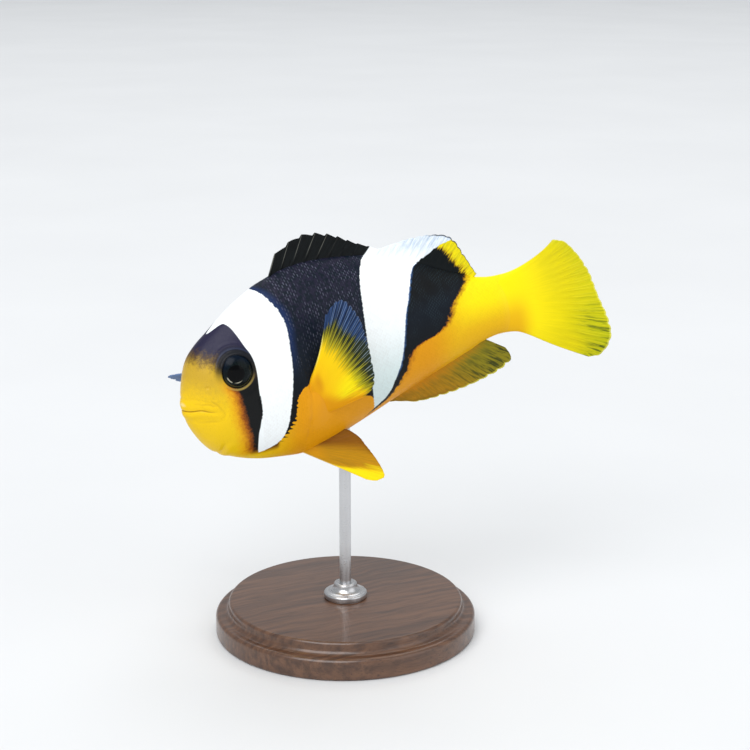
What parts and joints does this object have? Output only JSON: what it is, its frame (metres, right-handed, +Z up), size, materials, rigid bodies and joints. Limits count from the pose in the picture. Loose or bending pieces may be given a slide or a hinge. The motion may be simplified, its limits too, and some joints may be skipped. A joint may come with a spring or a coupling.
{
  "type": "clownfish model on a display stand",
  "caption": "Life-size Clark's anemonefish, a yellow, black and white clownfish, swimming with its tail bent to one side, on a round base with a rod.",
  "frame": {"origin": "centre of the stand's flat underside", "axes": "+Z up; the fish's head points towards -X, its left side faces -Y"},
  "size_m": [0.0912, 0.054, 0.0845],
  "materials": {
    "skin_yellow": "satin",
    "skin_black": "satin",
    "skin_white": "satin",
    "fin_yellow": "satin",
    "fin_orange": "satin",
    "eye": "gloss",
    "base_wood": "satin",
    "rod_steel": "brushed"
  },
  "bodies": {
    "root": {"head": "skin_yellow", "lower_jaw": "skin_yellow", "gill_cover_left": "skin_white", "gill_cover_right": "skin_white", "eye_left": "eye", "eye_right": "eye", "trunk": "skin_black", "tail_base": "skin_yellow", "dorsal_fin_spiny": "skin_black", "dorsal_fin_soft": "skin_white", "tail_fin": "fin_yellow", "anal_fin": "fin_orange", "pectoral_fin_left": "fin_yellow", "pectoral_fin_right": "fin_yellow", "pelvic_fin_left": "fin_orange", "pelvic_fin_right": "fin_orange", "stand_base": "base_wood", "stand_collar": "rod_steel", "stand_rod": "rod_steel"}
  },
  "joints": []
}
